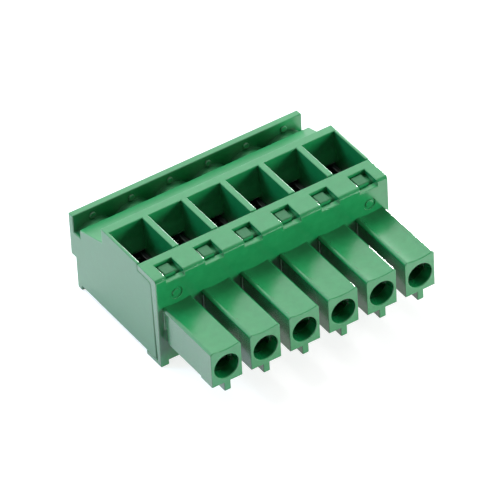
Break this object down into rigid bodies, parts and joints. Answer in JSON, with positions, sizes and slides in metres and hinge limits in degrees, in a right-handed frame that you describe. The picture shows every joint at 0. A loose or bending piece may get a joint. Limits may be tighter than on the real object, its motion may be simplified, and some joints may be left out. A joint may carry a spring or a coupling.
{
  "type": "pluggable terminal block",
  "caption": "Pluggable terminal block: square wire funnels above, socket fingers in front and rising cage clamps with screws reached from behind.",
  "frame": {"origin": "middle of the bounding box on the plane that the feet rest on", "axes": "+X along the row of poles, -Y where the socket fingers point, +Z towards the wire funnels"},
  "size_m": [0.0304, 0.0276, 0.0124],
  "materials": {
    "housing": "satin",
    "contact": "tin plated",
    "cage": "zinc plated",
    "screw": "zinc plated"
  },
  "bodies": {
    "housing": {"front_housing": "housing", "rear_housing": "housing", "contact_1": "contact", "contact_2": "contact", "contact_3": "contact", "contact_4": "contact", "contact_5": "contact", "contact_6": "contact"},
    "cage_1": {"clamp_cage_1": "cage"},
    "screw_1": {"clamp_screw_1": "screw"},
    "cage_2": {"clamp_cage_2": "cage"},
    "screw_2": {"clamp_screw_2": "screw"},
    "cage_3": {"clamp_cage_3": "cage"},
    "screw_3": {"clamp_screw_3": "screw"},
    "cage_4": {"clamp_cage_4": "cage"},
    "screw_4": {"clamp_screw_4": "screw"},
    "cage_5": {"clamp_cage_5": "cage"},
    "screw_5": {"clamp_screw_5": "screw"},
    "cage_6": {"clamp_cage_6": "cage"},
    "screw_6": {"clamp_screw_6": "screw"}
  },
  "joints": [
    {"name": "screw_1_turn", "type": "hinge", "parent": "housing", "child": "screw_1", "pos_m": [-0.0127, 0.01197, 0.00575], "axis": [0, -1, 0], "range_deg": [0, 1872]},
    {"name": "cage_1_slide", "type": "slide", "parent": "housing", "child": "cage_1", "axis": [0, 1, 0], "range_m": [0, 0.0026]},
    {"name": "screw_2_turn", "type": "hinge", "parent": "housing", "child": "screw_2", "pos_m": [-0.00762, 0.01197, 0.00575], "axis": [0, -1, 0], "range_deg": [0, 1872]},
    {"name": "cage_2_slide", "type": "slide", "parent": "housing", "child": "cage_2", "axis": [0, 1, 0], "range_m": [0, 0.0026]},
    {"name": "screw_3_turn", "type": "hinge", "parent": "housing", "child": "screw_3", "pos_m": [-0.00254, 0.01197, 0.00575], "axis": [0, -1, 0], "range_deg": [0, 1872]},
    {"name": "cage_3_slide", "type": "slide", "parent": "housing", "child": "cage_3", "axis": [0, 1, 0], "range_m": [0, 0.0026]},
    {"name": "screw_4_turn", "type": "hinge", "parent": "housing", "child": "screw_4", "pos_m": [0.00254, 0.01197, 0.00575], "axis": [0, -1, 0], "range_deg": [0, 1872]},
    {"name": "cage_4_slide", "type": "slide", "parent": "housing", "child": "cage_4", "axis": [0, 1, 0], "range_m": [0, 0.0026]},
    {"name": "screw_5_turn", "type": "hinge", "parent": "housing", "child": "screw_5", "pos_m": [0.00762, 0.01197, 0.00575], "axis": [0, -1, 0], "range_deg": [0, 1872]},
    {"name": "cage_5_slide", "type": "slide", "parent": "housing", "child": "cage_5", "axis": [0, 1, 0], "range_m": [0, 0.0026]},
    {"name": "screw_6_turn", "type": "hinge", "parent": "housing", "child": "screw_6", "pos_m": [0.0127, 0.01197, 0.00575], "axis": [0, -1, 0], "range_deg": [0, 1872]},
    {"name": "cage_6_slide", "type": "slide", "parent": "housing", "child": "cage_6", "axis": [0, 1, 0], "range_m": [0, 0.0026]}
  ],
  "couplings": [
    {"joint": "screw_1_turn", "follows": "cage_1_slide", "rad_per_m": 12566},
    {"joint": "screw_2_turn", "follows": "cage_2_slide", "rad_per_m": 12566},
    {"joint": "screw_3_turn", "follows": "cage_3_slide", "rad_per_m": 12566},
    {"joint": "screw_4_turn", "follows": "cage_4_slide", "rad_per_m": 12566},
    {"joint": "screw_5_turn", "follows": "cage_5_slide", "rad_per_m": 12566},
    {"joint": "screw_6_turn", "follows": "cage_6_slide", "rad_per_m": 12566}
  ]
}
